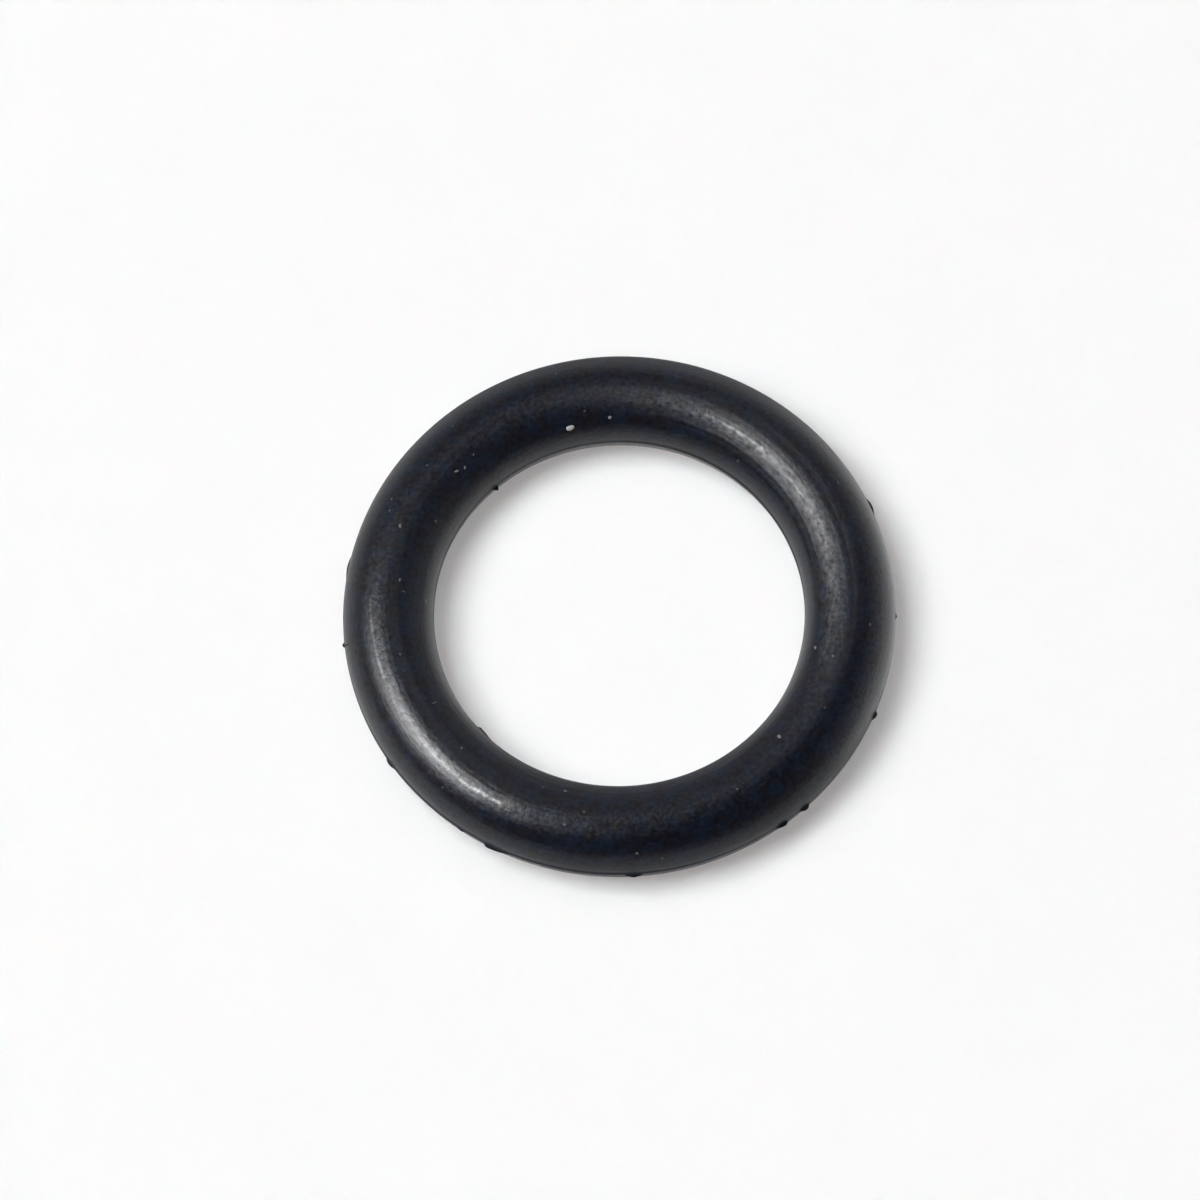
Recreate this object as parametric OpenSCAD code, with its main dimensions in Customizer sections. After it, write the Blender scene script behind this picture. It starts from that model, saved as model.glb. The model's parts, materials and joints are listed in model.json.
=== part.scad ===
// Moulded rubber o-ring of round section, lying flat with its axis up.
// The two halves of the mould met at mid height. They left a fine parting ridge round the inside and
// the outside of the ring, and short torn remnants of flash stand out of it.
// The origin is the centre of the ring, and +Z runs along its axis.

/* [Ring] */
// Inside diameter of the round section
inside_d = 10.77; // [6:0.01:40]
// Diameter of the round section
section_d = 2.62; // [1.6:0.01:5.4]

/* [Parting ridge] */
// How far the crest stands out of the round section
ridge_proud = 0.02; // [0.01:0.005:0.05]
// Height of the flat crest
ridge_crest = 0.1; // [0.06:0.01:0.2]
// Angle of the flanks, away from the radial direction
ridge_flank_angle = 45; // [20:5:65]
// Depth of the ridge's root inside the round section
ridge_root = 0.1; // [0.05:0.01:0.15]

/* [Flash remnants] */
// Thickness of the torn film
flash_t = 0.04; // [0.02:0.005:0.06]
// Depth of the film's root inside the crest
flash_root = 0.08; // [0.06:0.01:0.12]
// Depth at which the torn edge's two ends run out inside the crest
flash_runout = 0.02; // [0.01:0.005:0.04]
// Steps along the torn edge of one remnant
flash_steps = 8; // [6:1:24]

/* [Hidden] */
$fn = 128;

section_r = section_d / 2;
mean_r = inside_d / 2 + section_r;
outer_crest_r = mean_r + section_r + ridge_proud;
inner_crest_r = mean_r - section_r - ridge_proud;

// Sides of the ring on which a ridge or a remnant stands
OUTWARD = 1;
INWARD = -1;

// One row for each remnant: the angle round the ring at which it starts, its length along the crest,
// how far its tip reaches past the crest, and the place of the tip as a share of the length
OUTER_REMNANTS = [
    [19.4, 0.68, 0.055, 0.52],
    [163.8, 0.86, 0.030, 0.44],
    [183.4, 0.18, 0.050, 0.50],
    [210.4, 0.52, 0.055, 0.44],
    [231.6, 0.36, 0.030, 0.60],
    [238.4, 0.98, 0.075, 0.14],
    [268.2, 0.64, 0.070, 0.50],
    [301.4, 0.46, 0.075, 0.70],
    [307.6, 0.40, 0.080, 0.60],
    [332.8, 0.34, 0.060, 0.62],
    [355.9, 0.22, 0.020, 0.40],
];
INNER_REMNANTS = [
    [128.6, 0.20, 0.100, 0.55],
    [217.4, 0.80, 0.060, 0.16],
];

// Height of a remnant's torn edge as a share of its tip, at a share of its length
function torn_edge(along, tip) =
    along < tip ? sin(90 * along / tip) : cos(90 * (along - tip) / (1 - tip));

// Trapezium of the ridge on one side of the section, seen from the section's centre
module ridge_section(side) {
    crest_x = section_r + ridge_proud;
    root_x = section_r - ridge_root;
    root_y = ridge_crest / 2 + (crest_x - root_x) * tan(ridge_flank_angle);
    polygon([
        [side * root_x, -root_y],
        [side * crest_x, -ridge_crest / 2],
        [side * crest_x, ridge_crest / 2],
        [side * root_x, root_y],
    ]);
}

// Section of the ring: a full round with the parting ridge at both ends of its level diameter
module ring_section() {
    translate([mean_r, 0]) {
        circle(r = section_r);
        ridge_section(OUTWARD);
        ridge_section(INWARD);
    }
}

// Thin film left on a crest, torn along its free edge
module flash_remnant(crest_r, side, remnant) {
    start = remnant[0];
    span = remnant[1] / crest_r * 180 / PI;
    reach = remnant[2];
    tip = remnant[3];
    low_r = crest_r - side * flash_runout;
    root_r = crest_r - side * flash_root;
    rise = side * (flash_runout + reach);
    torn = [
        for (i = [0 : flash_steps])
            let (s = i / flash_steps, r = low_r + rise * torn_edge(s, tip), a = start + span * s)
            [r * cos(a), r * sin(a)]
    ];
    root = [for (a = [start + span, start]) [root_r * cos(a), root_r * sin(a)]];
    translate([0, 0, -flash_t / 2]) linear_extrude(flash_t) polygon(concat(torn, root));
}

module o_ring() {
    color([0.12, 0.125, 0.14]) union() {
        rotate_extrude() ring_section();
        for (remnant = OUTER_REMNANTS) flash_remnant(outer_crest_r, OUTWARD, remnant);
        for (remnant = INNER_REMNANTS) flash_remnant(inner_crest_r, INWARD, remnant);
    }
}

o_ring();
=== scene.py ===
import json
import math

import bmesh
import bpy
from mathutils import Matrix, Vector, noise


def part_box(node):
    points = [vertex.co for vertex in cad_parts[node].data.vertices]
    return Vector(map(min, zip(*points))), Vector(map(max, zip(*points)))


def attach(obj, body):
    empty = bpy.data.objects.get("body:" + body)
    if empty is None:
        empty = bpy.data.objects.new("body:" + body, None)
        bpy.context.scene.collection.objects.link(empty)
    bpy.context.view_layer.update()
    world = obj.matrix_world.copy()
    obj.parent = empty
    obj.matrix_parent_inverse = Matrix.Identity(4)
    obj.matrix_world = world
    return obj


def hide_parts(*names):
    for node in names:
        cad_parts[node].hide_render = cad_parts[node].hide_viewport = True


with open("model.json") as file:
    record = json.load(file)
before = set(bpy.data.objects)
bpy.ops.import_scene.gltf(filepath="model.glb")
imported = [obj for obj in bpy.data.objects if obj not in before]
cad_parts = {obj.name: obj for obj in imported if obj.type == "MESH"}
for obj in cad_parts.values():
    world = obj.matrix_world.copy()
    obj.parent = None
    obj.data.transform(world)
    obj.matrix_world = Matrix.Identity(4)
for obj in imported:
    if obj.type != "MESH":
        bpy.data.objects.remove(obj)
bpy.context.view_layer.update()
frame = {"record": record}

MM = 0.001

# Sizes of the ring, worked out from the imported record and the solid
mount_dims = {mount["name"]: mount["dims"] for mount in frame["record"]["mounts"]}
lowest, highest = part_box("o_ring")
OUTER_CREST_R = mount_dims["rim"]["r_mm"] * MM
INNER_CREST_R = mount_dims["bore"]["r_mm"] * MM
MEAN_R = (OUTER_CREST_R + INNER_CREST_R) / 2
SECTION_R = (highest.z - lowest.z) / 2
CREST_X = OUTER_CREST_R - MEAN_R
FLOOR_Z = lowest.z

# Parting ridge: half heights measured from mid height
CREST_HALF = 0.05 * MM
CORNER_ROUND = 0.006 * MM
ROOT_HALF = 0.072 * MM

# How strongly the ridge stands out, from 0 for a plain round to 1 for its full size, at azimuths
OUTER_RIDGE = [
    (0, 0.30),
    (150, 0.30),
    (195, 0.55),
    (212, 1.0),
    (272, 1.0),
    (292, 0.5),
    (312, 0.30),
    (360, 0.30),
]
INNER_RIDGE = [
    (0, 0.6),
    (18, 1.0),
    (66, 1.0),
    (90, 0.6),
    (360, 0.6),
]

# Torn flash: half thickness where the film leaves the crest and at its torn edge, the depth inside the
# crest where it runs out, and how ragged its edge is, with a number of notches to each degree
FILM_BASE_HALF = 0.020 * MM
FILM_EDGE_HALF = 0.013 * MM
FILM_RUNOUT = 0.02 * MM
FILM_RAGGED = 0.16
FILM_NOTCHES = 5

# One row for each remnant: the angle round the ring at which it starts, its length along the crest in
# mm, how far its tip reaches past the crest in mm, the place of the tip as a share of the length, and
# how far the torn edge bends up (or down) as a share of its reach
OUTER_REMNANTS = [
    (19.4, 0.68, 0.055, 0.52, 0.10),
    (163.8, 0.86, 0.030, 0.44, 0.00),
    (183.4, 0.18, 0.050, 0.50, 0.15),
    (210.4, 0.52, 0.055, 0.44, -0.10),
    (231.6, 0.36, 0.030, 0.60, 0.00),
    (238.4, 0.98, 0.075, 0.14, -0.12),
    (268.2, 0.64, 0.070, 0.50, 0.05),
    (301.4, 0.46, 0.075, 0.70, 0.10),
    (307.6, 0.40, 0.080, 0.60, -0.05),
    (332.8, 0.34, 0.060, 0.62, 0.12),
    (355.9, 0.22, 0.020, 0.40, 0.00),
]
INNER_REMNANTS = [
    (128.6, 0.20, 0.100, 0.55, 0.10),
    (217.4, 0.80, 0.060, 0.16, -0.05),
]

# Fine lines of the turned mould, all round the ring: tube angle in degrees (0 outside, 90 on top, 180
# inside), how far the surface tips towards larger tube angles there in degrees, and the line's half width
MOULD_LINES = [
    (61.5, 1.0, 1.5),
    (71.0, -0.8, 1.3),
    (74.7, 1.2, 1.4),
    (79.5, -1.5, 1.9),
    (83.6, 1.2, 1.0),
    (86.6, -2.4, 1.5),
    (90.0, 0.8, 1.0),
    (95.5, 3.2, 3.2),
    (101.5, -1.0, 1.4),
    (105.0, 1.2, 1.5),
    (112.6, -1.2, 1.4),
    (117.0, 1.0, 1.6),
    (125.3, -2.6, 2.2),
    (129.9, 2.0, 1.2),
    (133.2, -1.8, 1.4),
    (137.0, 1.2, 1.4),
    (141.0, -1.6, 2.0),
]
LINES_FROM = 60.0
LINES_TO = 145.0

# The lines come and go: how far, and the size of the changes round the ring and round the tube
LINE_FADE = 0.6
FADES_ROUND_RING = 3
FADES_ROUND_TUBE = 4

# Mesh density, with the rows' steps in degrees
COLUMNS = 360
REMNANT_COLUMNS = 15
LEAST_COLUMN_STEP = 0.04
FINE_STEP = 1.0
COARSE_STEP = 4.0

# Lint and dust lying on the ring: angle round the ring and round the tube in degrees (0 outside, 90 on
# top, 180 inside), length and width in mm, turn on the surface in degrees, and how pale it is
SPECKS = [
    (102.0, 140.5, 0.270, 0.165, 8, 1.00),
    (90.0, 134.0, 0.127, 0.114, 0, 0.40),
    (134.6, 117.5, 0.109, 0.078, 40, 0.28),
    (137.0, 113.0, 0.149, 0.072, -35, 0.35),
    (157.7, 89.0, 0.138, 0.090, 20, 0.32),
    (172.0, 105.5, 0.127, 0.078, 5, 0.18),
    (175.0, 112.0, 0.092, 0.072, 60, 0.11),
    (140.6, 79.0, 0.081, 0.072, 0, 0.15),
    (129.0, 63.5, 0.086, 0.066, 30, 0.15),
    (151.7, 62.0, 0.092, 0.072, 0, 0.13),
    (154.6, 67.0, 0.081, 0.066, 50, 0.12),
    (152.0, 129.0, 0.092, 0.066, 70, 0.17),
    (175.7, 148.0, 0.098, 0.066, 10, 0.33),
    (97.0, 122.0, 0.081, 0.066, 0, 0.08),
    (130.4, 113.0, 0.081, 0.060, 20, 0.11),
    (27.0, 62.0, 0.086, 0.066, 0, 0.15),
    (49.6, 143.5, 0.098, 0.066, 80, 0.11),
    (102.0, 62.0, 0.081, 0.066, 0, 0.15),
    (253.0, 119.0, 0.120, 0.080, 10, 0.23),
    (259.0, 93.0, 0.094, 0.078, 0, 0.12),
    (255.0, 72.5, 0.105, 0.078, 15, 0.20),
    (271.4, 41.0, 0.098, 0.072, 0, 0.15),
    (314.6, 108.0, 0.149, 0.108, 65, 0.34),
    (343.0, 130.0, 0.127, 0.090, 25, 0.40),
    (341.0, 101.5, 0.098, 0.072, 40, 0.28),
    (297.5, 85.0, 0.098, 0.078, 0, 0.09),
    (208.4, 114.0, 0.196, 0.036, 88, 0.18),
    (247.0, 115.0, 0.075, 0.060, 0, 0.13),
    (223.0, 102.0, 0.075, 0.060, 0, 0.24),
    (192.7, 98.5, 0.081, 0.066, 0, 0.14),
    (351.0, 63.0, 0.081, 0.066, 0, 0.13),
    (276.6, 29.0, 0.081, 0.066, 0, 0.11),
    (225.8, 47.0, 0.081, 0.066, 0, 0.11),
    (327.5, 83.6, 0.075, 0.060, 0, 0.08),
]

# Specks: height as a share of the width, share of the height sunk into the rubber, and how ragged
SPECK_HEIGHT_SHARE = 0.5
SPECK_SUNK_SHARE = 0.3
SPECK_RAGGED = 0.28
SPECK_LUMPS = 1.7
SPECK_APART = 3.1

# Short dark hair lying over the outer edge: azimuth, tube angle and lift in mm along it, then the radius
# of the strand, the sides of its section, and the share of the radius left at its ends
HAIR = [
    (183.9, -12.0, 0.030),
    (184.2, 0.0, 0.012),
    (184.8, 10.0, 0.008),
    (185.2, 19.0, 0.008),
    (185.4, 27.0, 0.006),
]
HAIR_RADIUS = 0.015 * MM
HAIR_SIDES = 6
HAIR_END_SHARE = 0.35

# Camera, read from the two outlines of the ring in the photograph
IMAGE_PX = 1200
RING_CENTRE_PX = (619.28, 614.12)
TILT = math.radians(21.21)
ROLL = math.radians(-2.70)
DISTANCE = 244.3 * MM
SENSOR_MM = 36.0
LENS_MM = 252.8

# Lamps: direction from the ring, line along the length, size as seen from the ring, and radiance. The key
# and side lamps show only in the ring's gloss; the wash and sky lamps light only what is matt.
LAMP_DISTANCE = 1.0
KEY_FROM = (-0.495, -0.021, 0.869)
KEY_ALONG = (0.475, 0.831, 0.290)
KEY_SIZE = (0.346, 0.052)
KEY_RADIANCE = 119.0
SIDE_FROM = (-0.716, -0.038, 0.697)
SIDE_ALONG = (0.263, -0.940, 0.218)
SIDE_SIZE = (0.665, 0.331)
SIDE_RADIANCE = 5.3
FILL_FROM = (0.240, 0.480, 0.844)
FILL_ALONG = (0.90, -0.40, 0.0)
FILL_SIZE = (0.12, 0.09)
FILL_RADIANCE = 9.8
WASH_FROM = (-0.4045, -0.0425, 0.9135)
WASH_ALONG = (0.0, 1.0, 0.0)
WASH_SIZE = (0.54, 0.54)
WASH_RADIANCE = 12.5
SKY_FROM = (0.0, 0.0, 1.0)
SKY_ALONG = (1.0, 0.0, 0.0)
SKY_SIZE = (1.0, 1.0)
SKY_RADIANCE = 0.25

# Brighter part of the floor at the right, as the ring's gloss shows it
GLOW_LIFT = 0.1 * MM
GLOW_SIZE = (26 * MM, 24 * MM)
GLOW_AT = (21.2 * MM, 6 * MM)
GLOW_RADIANCE = 0.50

# Surroundings seen in the gloss: level at the horizon and how it leans towards one side, the heights
# between which it fades, and the side on which it is dimmer
WORLD_COLOR = (1.0, 1.0, 1.0)
HORIZON_LEVEL = 0.37
HORIZON_LEAN = (0.21, 0.21, 0.0)
HORIZON_DIM_TO = (0.60, -0.80, 0.10)
HORIZON_DIM_SPREAD = (0.72, 0.95)
HORIZON_DIM_SHARE = 0.40
HORIZON_TOP = 0.967
HORIZON_FOOT = 0.05

# Floor: colour, share of plain white in what is seen of it, and how deep light spreads in it
FLOOR_COLOR = (0.90, 0.90, 0.90)
FLOOR_WHITE_SHARE = 0.28
FLOOR_DEPTH = 1.0 * MM
FLOOR_RADII = (1.0, 0.62, 0.60)
FLOOR_HALF = 1.5

# The ring's gloss shows the floor outside it dimmer, but for a window round one azimuth
GLOSS_DIM = 0.25
GLOSS_WINDOW_TO = 217.0
GLOSS_WINDOW_SPREAD = (38.0, 22.0)

# Rubber: base colours, then the surface. Grain is even in all directions; lines and streaks are drawn
# out round the ring, a number of cells to each radian.
RUBBER_DARK = (0.0018, 0.0013, 0.0044)
RUBBER_BLUE = (0.0010, 0.0052, 0.0155)
PATCH_MM = 0.42
PATCH_SPREAD = (0.38, 0.66)
RUBBER_IOR = 1.55
GRAIN_MM = 0.12
GRAIN_DEEP_MM = 0.006
GRAIN_SPREAD = (0.3, 0.7)
LINE_MM = 0.09
LINE_DEEP_MM = 0.003
LINE_TURNS = 4.0
STREAK_MM = 0.09
STREAK_DEEP_MM = 0.0045
STREAK_TURNS = 16.0

# Roughness outside and inside, the tube angles between which it changes, and how far grain varies it
OUTER_ROUGHNESS = 0.35
INNER_ROUGHNESS = 0.425
ROUGHNESS_FROM = 80.0
ROUGHNESS_TO = 104.0
ROUGHNESS_SPREAD = 0.05

# The sides that face the back and the front: the back is rougher, and both carry painted shade, their gloss
# taken down to darken what they reflect. How far the surface faces that way, from and to, with the roughness
# added at the back and the gloss kept on both
BACK_FROM = 0.50
BACK_TO = 0.76
BACK_ROUGHNESS = 0.22
FACING_FROM = 0.35
FACING_TO = 0.75
PAINTED_SHADE_GLOSS = 0.72

# Gloss: its plain level, how much grain varies it, and the zones where a grain drawn out round the ring
# varies it more. A zone has its tube angle, half width in degrees, azimuth, reach to both sides in
# degrees, and the amount.
GLOSS = 0.5
GLOSS_GRAIN = 0.40
GLOSS_LEAST = 0.1
LONG_GRAIN_MM = 0.12
LONG_GRAIN_TURNS = 28.0
GRAIN_ZONES = [
    (73.0, 16.0, 212.0, 45.0, 0.62),
    (113.0, 22.0, 30.0, 62.0, 1.25),
]

# Bright and dull gloss lines, laid only where the key lamp's highlight falls: partly the rubber's own
# fine lines, partly painted highlight and painted shade that shape that highlight. Each has its tube
# angle, half width in degrees, azimuth, reach to both sides in degrees, and the share of gloss added or
# taken off
GLOSS_LINES_AND_PAINTED_LIGHT = [
    (69.0, 2.6, 187.0, 11.0, 1.35),
    (69.2, 2.2, 200.0, 7.0, 0.40),
    (71.0, 2.3, 221.0, 7.0, 0.50),
    (69.4, 2.8, 230.3, 3.0, 1.35),
    (71.4, 3.4, 236.0, 4.2, 3.00),
    (77.0, 11.0, 260.0, 19.0, -0.40),
    (112.3, 1.4, 29.5, 8.0, 0.30),
    (110.4, 3.0, 52.0, 7.5, 1.40),
    (109.6, 2.2, 60.0, 4.5, 1.10),
    (115.0, 9.0, 2.0, 24.0, 0.42),
    (126.3, 2.0, 38.0, 36.0, 0.35),
    (130.6, 1.4, 45.0, 34.0, -0.40),
    (134.0, 1.3, 42.0, 28.0, 0.25),
    (139.6, 2.6, 32.0, 28.0, -0.45),
    (108.6, 1.4, 208.0, 26.0, -0.30),
    (84.6, 1.1, 11.0, 16.0, 0.45),
    (88.0, 2.2, 14.0, 22.0, -0.25),
]
BRIGHT_TURNS = 12.0
BRIGHT_MM = 0.4
BRIGHT_SPREAD = (0.40, 0.55)
BRIGHT_LEAST = 0.45
REACH_FADE = 0.7

# Scratches across the tube: azimuth, tube angle, half length in degrees of tube, half width in mm
SCRATCHES = [
    (227.6, 74.0, 13.0, 0.022),
]
SCRATCH_ROUGHNESS = 0.30

# Dust: colours from dark to pale, its fibres, and how far they vary the tone
DUST_DARK = (0.02, 0.02, 0.022)
DUST_PALE = (0.46, 0.46, 0.45)
DUST_ROUGHNESS = 0.9
FIBRE_MM = 0.05
FIBRE_DETAIL = 3.0
FIBRE_DEEP_MM = 0.01
FIBRE_SPREAD = (0.3, 0.7)
FIBRE_TONE = (0.75, 1.0)


def tube_point(azimuth, tube, lift=0.0):
    """Point on the round section, with azimuth and tube angle in degrees, lifted along its normal."""
    a = math.radians(azimuth)
    v = math.radians(tube)
    outward = Vector((math.cos(a), math.sin(a), 0))
    normal = outward * math.cos(v) + Vector((0, 0, math.sin(v)))
    return outward * MEAN_R + normal * (SECTION_R + lift), normal


def torn_edge(along, tip):
    """Height of a remnant's torn edge as a share of its tip, at a share of its length."""
    if along < tip:
        return math.sin(math.pi / 2 * along / tip)
    return math.cos(math.pi / 2 * (along - tip) / (1 - tip))


def column_azimuths():
    """Azimuths of the mesh's columns: even steps, with more of them along each remnant."""
    found = [360 * i / COLUMNS for i in range(COLUMNS)]
    for remnants, crest_r in ((OUTER_REMNANTS, OUTER_CREST_R), (INNER_REMNANTS, INNER_CREST_R)):
        for start, length, *_ in remnants:
            span = math.degrees(length * MM / crest_r)
            found += [start + span * i / (REMNANT_COLUMNS - 1) for i in range(REMNANT_COLUMNS)]
    kept = []
    for azimuth in sorted(found):
        if not kept or azimuth - kept[-1] > LEAST_COLUMN_STEP:
            kept.append(azimuth)
    return kept


def film_shape(azimuth, remnants, crest_r):
    """How far the film stands out of the full crest, and the share of it bent up, at an azimuth."""
    for start, length, reach, tip, bend in remnants:
        span = math.degrees(length * MM / crest_r)
        along = (azimuth - start) / span
        if 0 <= along <= 1:
            ragged = 1 + FILM_RAGGED * noise.noise(Vector((azimuth * FILM_NOTCHES, crest_r / MM, 0)))
            return (reach * MM + FILM_RUNOUT) * torn_edge(along, tip) * ragged - FILM_RUNOUT, bend
    return -FILM_RUNOUT, 0.0


def between(azimuth, stops):
    """Value at an azimuth, between the stops given as pairs of azimuth and value."""
    for (low, low_value), (high, high_value) in zip(stops, stops[1:]):
        if low <= azimuth <= high:
            return low_value + (high_value - low_value) * (azimuth - low) / (high - low)
    return stops[-1][1]


class Side:
    """The parting ridge and its torn film on one side of the section, at one azimuth."""

    def __init__(self, azimuth, strengths, remnants, crest_r):
        self.strength = between(azimuth % 360, strengths)
        self.film_out, self.bend = film_shape(azimuth, remnants, crest_r)

    def place(self, x, z, film):
        """Distance from the section's centre and height of a point of the ridge."""
        plain = math.sqrt(SECTION_R**2 - z**2)
        crest = plain + (abs(x) - plain) * self.strength
        if not film:
            return math.copysign(crest, x), z
        out = max(crest, CREST_X + self.film_out)
        return math.copysign(out, x), z + self.bend * (out - crest)


def ridge_rows():
    """Half of the parting ridge from mid height up: distance from the section's centre, height, film."""
    root_x = math.sqrt(SECTION_R ** 2 - ROOT_HALF ** 2)
    return [
        (CREST_X, FILM_EDGE_HALF, 1),
        (CREST_X, FILM_BASE_HALF, 0),
        (CREST_X, CREST_HALF - CORNER_ROUND, 0),
        (CREST_X - CORNER_ROUND / 2, CREST_HALF + CORNER_ROUND / 2, 0),
        (root_x, ROOT_HALF, 0),
    ]


def even_steps(start, stop, step):
    """Values spread evenly after start and up to stop, about a step apart."""
    count = max(1, round((stop - start) / step))
    return [start + (stop - start) * (i + 1) / count for i in range(count)]


def line_relief(angles):
    """Height of the mould lines at each tube angle, summed up from the tips of the surface."""
    heights = [0.0]
    for low, high in zip(angles, angles[1:]):
        middle = (low + high) / 2
        tip = sum(tilt * math.exp(-(((middle - at) / half) ** 2)) for at, tilt, half in MOULD_LINES)
        heights.append(heights[-1] - math.radians(tip) * SECTION_R * math.radians(high - low))
    drift = heights[-1] / (angles[-1] - angles[0])
    return [height - drift * (angle - angles[0]) for height, angle in zip(heights, angles)]


def section_rows():
    """The closed section from the outside over the top: x, z, film (None off the ridge), line relief."""
    ridge = ridge_rows()
    first = math.degrees(math.asin(ROOT_HALF / SECTION_R))
    lines = [LINES_FROM] + even_steps(LINES_FROM, LINES_TO, FINE_STEP)
    relief = dict(zip(lines, line_relief(lines)))
    before = even_steps(first, LINES_FROM, COARSE_STEP)[:-1]
    after = even_steps(LINES_TO, 180 - first, COARSE_STEP)[:-1]
    under = even_steps(180 + first, 360 - first, COARSE_STEP)[:-1]

    def arc(angles):
        turned = [(math.cos(math.radians(v)), math.sin(math.radians(v)), relief.get(v, 0.0)) for v in angles]
        return [(SECTION_R * c, SECTION_R * s, None, height) for c, s, height in turned]

    rows = [(x, z, film, 0) for x, z, film in ridge]
    rows += arc(before + lines + after)
    rows += [(-x, z, film, 0) for x, z, film in reversed(ridge)]
    rows += [(-x, -z, film, 0) for x, z, film in ridge]
    rows += arc(under)
    rows += [(x, -z, film, 0) for x, z, film in reversed(ridge)]
    return rows


def mesh_object(name, verts, faces, material):
    """New smooth mesh object with one material."""
    mesh = bpy.data.meshes.new(name)
    mesh.from_pydata(verts, [], faces)
    mesh.validate()
    mesh.polygons.foreach_set("use_smooth", [True] * len(mesh.polygons))
    mesh.materials.append(material)
    obj = bpy.data.objects.new(name, mesh)
    bpy.context.scene.collection.objects.link(obj)
    return obj


def fade_place(a, z):
    """Place in the noise that makes the mould lines come and go."""
    around = (FADES_ROUND_RING * math.cos(a), FADES_ROUND_RING * math.sin(a))
    return Vector((*around, FADES_ROUND_TUBE * z / SECTION_R))


def build_ring(material):
    """The ring as one closed skin: its section carried round the axis, with the torn film pulled out."""
    azimuths = column_azimuths()
    rows = section_rows()
    verts = []
    for azimuth in azimuths:
        a = math.radians(azimuth)
        outside = Side(azimuth, OUTER_RIDGE, OUTER_REMNANTS, OUTER_CREST_R)
        inside = Side(azimuth, INNER_RIDGE, INNER_REMNANTS, INNER_CREST_R)
        for x, z, film, relief in rows:
            if film is None:
                fade = LINE_FADE * noise.noise(fade_place(a, z))
                lift = 1 + relief * (1 + fade) / SECTION_R
                x, height = x * lift, z * lift
            else:
                x, height = (outside if x > 0 else inside).place(x, z, film)
            r = MEAN_R + x
            verts.append((r * math.cos(a), r * math.sin(a), height))
    faces = []
    n = len(rows)
    for i in range(len(azimuths)):
        j = (i + 1) % len(azimuths)
        for k in range(n):
            m = (k + 1) % n
            faces.append((i * n + k, j * n + k, j * n + m, i * n + m))
    return mesh_object("rubber_ring", verts, faces, material)


def hair_mesh():
    """Closed thin strand through the hair's points, narrowing to both ends."""
    points = [tube_point(azimuth, tube, lift * MM)[0] for azimuth, tube, lift in HAIR]
    verts = []
    for i, point in enumerate(points):
        along = (points[min(i + 1, len(points) - 1)] - points[max(i - 1, 0)]).normalized()
        aside = along.orthogonal().normalized()
        up = along.cross(aside)
        radius = HAIR_RADIUS * (HAIR_END_SHARE if i in (0, len(points) - 1) else 1.0)
        for k in range(HAIR_SIDES):
            turn = 2 * math.pi * k / HAIR_SIDES
            verts.append(point + (aside * math.cos(turn) + up * math.sin(turn)) * radius)
    faces = [list(range(HAIR_SIDES))[::-1], list(range(len(verts) - HAIR_SIDES, len(verts)))]
    for i in range(len(points) - 1):
        for k in range(HAIR_SIDES):
            m = (k + 1) % HAIR_SIDES
            low, high = i * HAIR_SIDES, (i + 1) * HAIR_SIDES
            faces.append([low + k, low + m, high + m, high + k])
    return verts, faces


def build_specks(material):
    """Lint and dust as small ragged lumps, each sunk a little into the rubber it lies on."""
    ball = bmesh.new()
    bmesh.ops.create_icosphere(ball, subdivisions=2, radius=1.0)
    ball_verts = [v.co.copy() for v in ball.verts]
    ball_faces = [[v.index for v in f.verts] for f in ball.faces]
    ball.free()
    verts = []
    faces = []
    tones = []
    for number, (azimuth, tube, length, width, turn, tone) in enumerate(SPECKS):
        half = (length * MM / 2, width * MM / 2, width * MM / 2 * SPECK_HEIGHT_SHARE)
        place, normal = tube_point(azimuth, tube, half[2] * (1 - 2 * SPECK_SUNK_SHARE))
        a = math.radians(azimuth)
        round_ring = Vector((-math.sin(a), math.cos(a), 0))
        along = Matrix.Rotation(math.radians(turn), 3, normal) @ round_ring
        across = normal.cross(along)
        first = len(verts)
        for co in ball_verts:
            ragged = 1 + SPECK_RAGGED * noise.noise(co * SPECK_LUMPS + Vector((number * SPECK_APART, 0, 0)))
            local = [c * h * ragged for c, h in zip(co, half)]
            verts.append(place + along * local[0] + across * local[1] + normal * local[2])
            tones.append(tone)
        faces += [[first + index for index in face] for face in ball_faces]
    hair_verts, hair_faces = hair_mesh()
    faces += [[len(verts) + index for index in face] for face in hair_faces]
    verts += hair_verts
    tones += [0.0] * len(hair_verts)
    obj = mesh_object("dust_specks", verts, faces, material)
    obj.data.attributes.new("tone", "FLOAT", "POINT").data.foreach_set("value", tones)
    return obj


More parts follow.
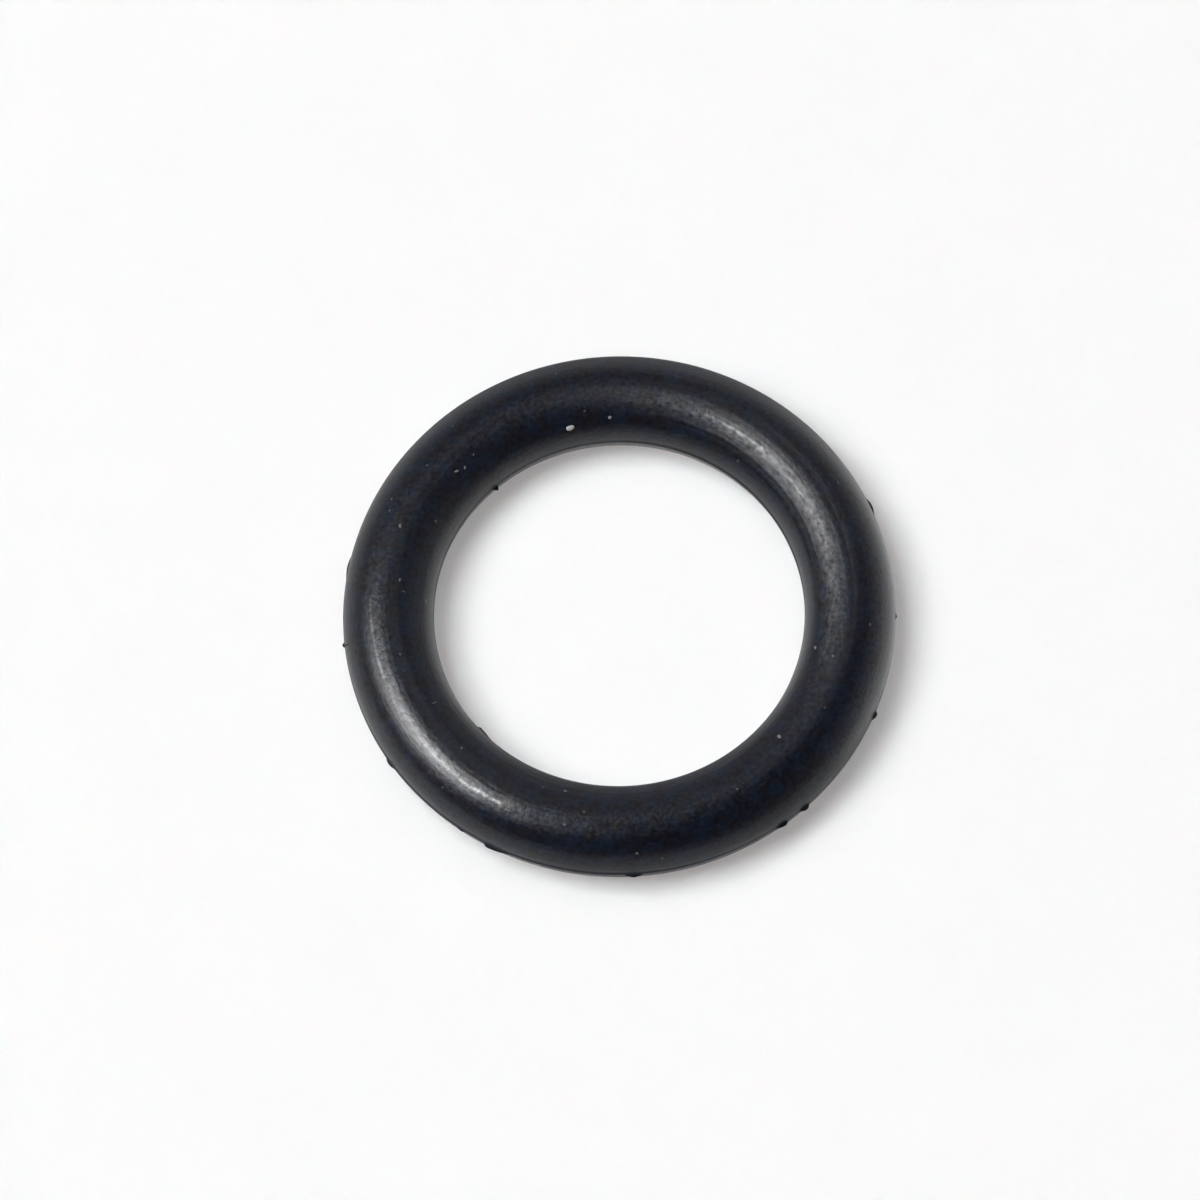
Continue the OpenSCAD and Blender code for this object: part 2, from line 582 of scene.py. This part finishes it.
class Nodes:
    """Short calls for a node tree."""

    def __init__(self, tree):
        self.tree = tree
        tree.nodes.clear()

    def add(self, kind, inputs=None, **settings):
        node = self.tree.nodes.new(kind)
        for key, value in settings.items():
            setattr(node, key, value)
        for key, value in (inputs or {}).items():
            self.put(node.inputs[key], value)
        return node

    def put(self, socket, value):
        if isinstance(value, bpy.types.NodeSocket):
            self.tree.links.new(value, socket)
        else:
            socket.default_value = value

    def math(self, operation, *values):
        node = self.add("ShaderNodeMath", operation=operation)
        for socket, value in zip(node.inputs, values):
            self.put(socket, value)
        return node.outputs[0]

    def blend(self, factor, low, high):
        """Colour mixed from low to high."""
        node = self.add("ShaderNodeMix", data_type="RGBA")
        self.put(node.inputs[0], factor)
        self.put(node.inputs[6], low)
        self.put(node.inputs[7], high)
        return node.outputs[2]

    def span(self, value, from_low, from_high, to_low, to_high):
        """Value carried from one range to another, clamped."""
        ranges = {1: from_low, 2: from_high, 3: to_low, 4: to_high}
        return self.add("ShaderNodeMapRange", {0: value, **ranges}).outputs[0]

    def bumped(self, height, deep, normal=None):
        """Normal bumped by a height, a number of mm deep."""
        inputs = {"Height": height, "Strength": 1.0, "Distance": deep * MM}
        if normal is not None:
            inputs["Normal"] = normal
        return self.add("ShaderNodeBump", inputs).outputs[0]

    def coordinates(self, kind="Object"):
        return self.add("ShaderNodeTexCoord").outputs[kind]

    def separate(self, vector):
        return self.add("ShaderNodeSeparateXYZ", {0: vector}).outputs

    def combine(self, x, y, z=0.0):
        return self.add("ShaderNodeCombineXYZ", {0: x, 1: y, 2: z}).outputs[0]

    def vector(self, operation, result, *values):
        """Result of a vector operation, by the name of its output."""
        node = self.add("ShaderNodeVectorMath", dict(enumerate(values)), operation=operation)
        return node.outputs[result]

    def noise(self, vector, scale, detail=2.0, w=None):
        inputs = {"Vector": vector, "Scale": scale, "Detail": detail}
        if w is None:
            return self.add("ShaderNodeTexNoise", inputs).outputs[0]
        return self.add("ShaderNodeTexNoise", {**inputs, "W": w}, noise_dimensions="4D").outputs[0]


def new_material(name, kind=Nodes):
    """New material and the short calls for its nodes."""
    material = bpy.data.materials.new(name)
    material.use_nodes = True
    return material, kind(material.node_tree)


def rgba(color):
    return (*color, 1.0)


class RubberNodes(Nodes):
    """Node calls that know where a point lies on the ring."""

    def __init__(self, tree):
        super().__init__(tree)
        self.place = self.coordinates()
        self.x, self.y, self.z = self.separate(self.place)
        self.from_axis = self.vector("LENGTH", "Value", self.combine(self.x, self.y))
        self.round_x = self.math("DIVIDE", self.x, self.from_axis)
        self.round_y = self.math("DIVIDE", self.y, self.from_axis)
        self.across = self.math("SUBTRACT", self.from_axis, MEAN_R)
        self.tube = self.math("MULTIPLY", self.math("ARCTAN2", self.z, self.across), 180 / math.pi)

    def drawn_out(self, width, turns):
        """Noise over the section, of a width across it, drawn out round the ring."""
        scale = 1 / (width * MM)
        across = self.math("MULTIPLY", self.from_axis, scale)
        up = self.math("MULTIPLY", self.z, scale)
        around = [self.math("MULTIPLY", value, turns) for value in (self.round_x, self.round_y)]
        return self.noise(self.combine(across, up, around[0]), 1.0, 1.0, around[1])

    def band(self, value, middle, half):
        """Share that is 1 at a value's middle and falls to 0 at half its width."""
        off = self.math("ABSOLUTE", self.math("SUBTRACT", value, middle))
        return self.span(off, 0.0, half, 1.0, 0.0)

    def towards(self, azimuth):
        """Cosine of the angle round the ring from an azimuth."""
        a = math.radians(azimuth)
        near = self.math("MULTIPLY", self.round_x, math.cos(a))
        return self.math("ADD", near, self.math("MULTIPLY", self.round_y, math.sin(a)))

    def stretch(self, tube, half, azimuth, reach):
        """Share that is 1 along a tube angle round an azimuth, and falls to 0 at the stretch's ends."""
        ends = [math.cos(math.radians(reach)), math.cos(math.radians(reach * REACH_FADE))]
        ends = self.span(self.towards(azimuth), *ends, 0.0, 1.0)
        return self.math("MULTIPLY", self.band(self.tube, tube, half), ends)

    def scratch(self, azimuth, tube, half, width):
        """Share that is 1 along a line across the tube."""
        a = math.radians(azimuth)
        aside = self.math("MULTIPLY", self.x, -math.sin(a))
        aside = self.math("ADD", aside, self.math("MULTIPLY", self.y, math.cos(a)))
        line = self.math("MULTIPLY", self.band(aside, 0.0, width * MM), self.band(self.tube, tube, half))
        return self.math("MULTIPLY", line, self.math("GREATER_THAN", self.towards(azimuth), 0.0))


def rubber_roughness(nodes, grain, facing_back):
    """Roughness by the place on the tube, with grain and scratches."""
    roughness = nodes.span(nodes.tube, ROUGHNESS_FROM, ROUGHNESS_TO, OUTER_ROUGHNESS, INNER_ROUGHNESS)
    grainy = nodes.span(grain, *GRAIN_SPREAD, -ROUGHNESS_SPREAD, ROUGHNESS_SPREAD)
    roughness = nodes.math("ADD", roughness, grainy)
    duller = nodes.span(facing_back, BACK_FROM, BACK_TO, 0.0, BACK_ROUGHNESS)
    roughness = nodes.math("ADD", roughness, duller)
    for row in SCRATCHES:
        duller = nodes.math("MULTIPLY", nodes.scratch(*row), SCRATCH_ROUGHNESS)
        roughness = nodes.math("ADD", roughness, duller)
    return roughness


def rubber_gloss(nodes, grain, facing_back):
    """Gloss level with its grain, the bright and dull lines that are partly painted highlight and shade, and
    the sides facing front and back dimmed as painted shade.
    """
    gloss = nodes.math("MULTIPLY", nodes.math("SUBTRACT", grain, 0.5), GLOSS_GRAIN)
    long_grain = nodes.drawn_out(LONG_GRAIN_MM, LONG_GRAIN_TURNS)
    long_grain = nodes.math("SUBTRACT", long_grain, 0.5)
    for *zone, more in GRAIN_ZONES:
        share = nodes.math("MULTIPLY", nodes.stretch(*zone), more)
        gloss = nodes.math("ADD", gloss, nodes.math("MULTIPLY", long_grain, share))
    gloss = nodes.math("MAXIMUM", nodes.math("ADD", gloss, GLOSS), GLOSS_LEAST)
    broken = nodes.drawn_out(BRIGHT_MM, BRIGHT_TURNS)
    broken = nodes.span(broken, *BRIGHT_SPREAD, BRIGHT_LEAST, 1.0)
    brighter = 1.0
    # Painted highlight and painted shade: gloss lines brighten and dull the rubber where the key lamp's
    # highlight falls.
    for *line, more in GLOSS_LINES_AND_PAINTED_LIGHT:
        bright = nodes.math("MULTIPLY", nodes.stretch(*line), broken)
        brighter = nodes.math("ADD", brighter, nodes.math("MULTIPLY", bright, more))
    gloss = nodes.math("MULTIPLY", gloss, brighter)
    # Painted shade: gloss taken down on the sides facing the front and the back, to darken their
    # reflections.
    kept = nodes.span(nodes.math("ABSOLUTE", facing_back), FACING_FROM, FACING_TO, 1.0, PAINTED_SHADE_GLOSS)
    return nodes.math("MULTIPLY", gloss, kept)


def rubber_material():
    """Black moulded rubber with bluish patches, grain, fine lines and a satin gloss, the gloss carrying
    painted highlight and shade.
    """
    material, nodes = new_material("moulded_rubber", RubberNodes)
    facing_back = nodes.math("MULTIPLY", nodes.round_y, nodes.math("DIVIDE", nodes.across, SECTION_R))
    grain = nodes.noise(nodes.place, 1 / (GRAIN_MM * MM))
    bump = nodes.bumped(nodes.drawn_out(LINE_MM, LINE_TURNS), LINE_DEEP_MM)
    bump = nodes.bumped(nodes.drawn_out(STREAK_MM, STREAK_TURNS), STREAK_DEEP_MM, bump)
    bump = nodes.bumped(grain, GRAIN_DEEP_MM, bump)
    patches = nodes.noise(nodes.place, 1 / (PATCH_MM * MM))
    patches = nodes.span(patches, *PATCH_SPREAD, 0.0, 1.0)
    shader = nodes.add(
        "ShaderNodeBsdfPrincipled",
        {
            "Base Color": nodes.blend(patches, rgba(RUBBER_DARK), rgba(RUBBER_BLUE)),
            "Roughness": rubber_roughness(nodes, grain, facing_back),
            "IOR": RUBBER_IOR,
            "Specular IOR Level": rubber_gloss(nodes, grain, facing_back),
            "Normal": bump,
        },
    )
    nodes.add("ShaderNodeOutputMaterial", {"Surface": shader.outputs[0]})
    return material


def dust_material():
    """Matt lint and dust, from dark to pale by each speck's tone."""
    material, nodes = new_material("pale_dust")
    tone = nodes.add("ShaderNodeAttribute", attribute_name="tone").outputs["Fac"]
    fibres = nodes.noise(nodes.coordinates(), 1 / (FIBRE_MM * MM), FIBRE_DETAIL)
    level = nodes.math("MULTIPLY", tone, nodes.span(fibres, *FIBRE_SPREAD, *FIBRE_TONE))
    color = nodes.blend(level, rgba(DUST_DARK), rgba(DUST_PALE))
    bump = nodes.bumped(fibres, FIBRE_DEEP_MM)
    inputs = {"Base Color": color, "Roughness": DUST_ROUGHNESS, "Normal": bump}
    shader = nodes.add("ShaderNodeBsdfPrincipled", inputs)
    nodes.add("ShaderNodeOutputMaterial", {"Surface": shader.outputs[0]})
    return material


def floor_dimming(nodes, glossy):
    """Share of the floor's light that the ring's gloss does not show."""
    x, y, _ = nodes.separate(nodes.coordinates())
    flat = nodes.combine(x, y)
    from_axis = nodes.vector("LENGTH", "Value", flat)
    a = math.radians(GLOSS_WINDOW_TO)
    middle = (math.cos(a), math.sin(a), 0.0)
    near = nodes.vector("DOT_PRODUCT", "Value", nodes.vector("NORMALIZE", "Vector", flat), middle)
    spread = [math.cos(math.radians(angle)) for angle in GLOSS_WINDOW_SPREAD]
    dim = nodes.span(near, *spread, GLOSS_DIM, 0.0)
    outside = nodes.math("GREATER_THAN", from_axis, MEAN_R)
    return nodes.math("MULTIPLY", nodes.math("MULTIPLY", dim, outside), glossy)


def floor_material():
    """Pale floor that light sinks into a little, whitened where it is seen."""
    material, nodes = new_material("pale_floor")
    lit = nodes.add(
        "ShaderNodeSubsurfaceScattering",
        {"Color": rgba(FLOOR_COLOR), "Scale": FLOOR_DEPTH, "Radius": FLOOR_RADII},
        falloff="BURLEY",
    ).outputs[0]
    white = nodes.add("ShaderNodeEmission", {"Strength": 1.0}).outputs[0]
    path = nodes.add("ShaderNodeLightPath").outputs
    seen = nodes.math("MAXIMUM", path["Is Camera Ray"], path["Is Glossy Ray"])
    seen = nodes.math("MAXIMUM", seen, path["Is Transmission Ray"])
    share = nodes.math("MULTIPLY", seen, FLOOR_WHITE_SHARE)
    floor = nodes.add("ShaderNodeMixShader", {0: share, 1: lit, 2: white}).outputs[0]
    black = nodes.add("ShaderNodeEmission", {"Strength": 0.0}).outputs[0]
    dimming = floor_dimming(nodes, path["Is Glossy Ray"])
    shader = nodes.add("ShaderNodeMixShader", {0: dimming, 1: floor, 2: black})
    nodes.add("ShaderNodeOutputMaterial", {"Surface": shader.outputs[0]})
    return material


def build_floor():
    """Plain floor that the ring lies on."""
    signs = ((-1, -1), (1, -1), (1, 1), (-1, 1))
    corners = [(x * FLOOR_HALF, y * FLOOR_HALF, FLOOR_Z) for x, y in signs]
    floor = mesh_object("floor", corners, [(0, 1, 2, 3)], floor_material())


def aimed(back, up_hint):
    """Rotation whose local Z points along back and whose local X lies along up_hint as far as it can."""
    z = Vector(back).normalized()
    y = z.cross(Vector(up_hint)).normalized()
    return Matrix((y.cross(z), y, z)).transposed()


def area_light(name, size, radiance):
    """Rectangular area light of a size and radiance, not yet placed."""
    data = bpy.data.lights.new(name, "AREA")
    data.shape = "RECTANGLE"
    data.size, data.size_y = size
    data.energy = radiance * math.pi * data.size * data.size_y
    lamp = bpy.data.objects.new(name, data)
    bpy.context.scene.collection.objects.link(lamp)
    return lamp


def build_lamp(name, source, along, size, radiance, gloss=True, wash=True):
    """Soft box in a direction from the ring, its length along a given line, facing the ring."""
    lamp = area_light(name, [side * LAMP_DISTANCE for side in size], radiance)
    lamp.visible_glossy = gloss
    lamp.visible_diffuse = wash
    place = Vector(source).normalized() * LAMP_DISTANCE
    lamp.matrix_world = Matrix.Translation(place) @ aimed(source, along).to_4x4()


def build_glow():
    """Bright part of the floor that only the ring's gloss shows."""
    lamp = area_light("glow_lamp", GLOW_SIZE, GLOW_RADIANCE)
    lamp.visible_camera = False
    lamp.visible_diffuse = False
    facing_up = Matrix.Rotation(math.pi, 4, "X")
    lamp.matrix_world = Matrix.Translation((*GLOW_AT, FLOOR_Z + GLOW_LIFT)) @ facing_up


def build_world():
    """Pale surroundings, brightest near the horizon and towards the back right, seen only in the gloss."""
    world = bpy.data.worlds.new("studio")
    world.use_nodes = True
    bpy.context.scene.world = world
    nodes = Nodes(world.node_tree)
    direction = nodes.coordinates("Generated")
    height = nodes.separate(direction)[2]
    band = nodes.add(
        "ShaderNodeMapRange",
        {0: height, 1: HORIZON_TOP, 2: HORIZON_FOOT, 3: 0.0, 4: 1.0},
        interpolation_type="SMOOTHSTEP",
    ).outputs[0]
    leaning = nodes.vector("DOT_PRODUCT", "Value", direction, HORIZON_LEAN)
    level = nodes.math("MULTIPLY", band, nodes.math("ADD", leaning, HORIZON_LEVEL))
    facing = nodes.vector("DOT_PRODUCT", "Value", direction, HORIZON_DIM_TO)
    level = nodes.math("MULTIPLY", level, nodes.span(facing, *HORIZON_DIM_SPREAD, 1.0, HORIZON_DIM_SHARE))
    background = nodes.add("ShaderNodeBackground", {"Color": rgba(WORLD_COLOR), "Strength": level})
    nodes.add("ShaderNodeOutputWorld", {"Surface": background.outputs[0]})
    world.cycles_visibility.diffuse = False


def build_camera():
    """Camera at the photograph's viewpoint, turned and shifted to put the ring where it lies there."""
    back = Vector((0, -math.sin(TILT), math.cos(TILT)))
    right = Vector((1, 0, 0))
    down = (-back).cross(right)
    camera_right = right * math.cos(ROLL) - down * math.sin(ROLL)
    camera_down = right * math.sin(ROLL) + down * math.cos(ROLL)
    data = bpy.data.cameras.new("camera")
    data.sensor_width = SENSOR_MM
    data.lens = LENS_MM
    data.shift_x = (IMAGE_PX / 2 - RING_CENTRE_PX[0]) / IMAGE_PX
    data.shift_y = (RING_CENTRE_PX[1] - IMAGE_PX / 2) / IMAGE_PX
    data.clip_start = DISTANCE / 100
    data.clip_end = DISTANCE * 100
    camera = bpy.data.objects.new("camera", data)
    turn = Matrix((camera_right, -camera_down, back)).transposed()
    camera.matrix_world = Matrix.Translation(back * DISTANCE) @ turn.to_4x4()
    bpy.context.scene.collection.objects.link(camera)
    bpy.context.scene.camera = camera


ring = build_ring(rubber_material())
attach(ring, "root")
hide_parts("o_ring")
specks = build_specks(dust_material())
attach(specks, "root")

build_floor()
build_world()
build_lamp("key_lamp", KEY_FROM, KEY_ALONG, KEY_SIZE, KEY_RADIANCE, wash=False)
build_lamp("side_lamp", SIDE_FROM, SIDE_ALONG, SIDE_SIZE, SIDE_RADIANCE, wash=False)
build_lamp("fill_lamp", FILL_FROM, FILL_ALONG, FILL_SIZE, FILL_RADIANCE)
build_lamp("wash_lamp", WASH_FROM, WASH_ALONG, WASH_SIZE, WASH_RADIANCE, gloss=False)
build_glow()
build_lamp("sky_lamp", SKY_FROM, SKY_ALONG, SKY_SIZE, SKY_RADIANCE, gloss=False)
build_camera()
bpy.context.scene.view_settings.view_transform = "Standard"
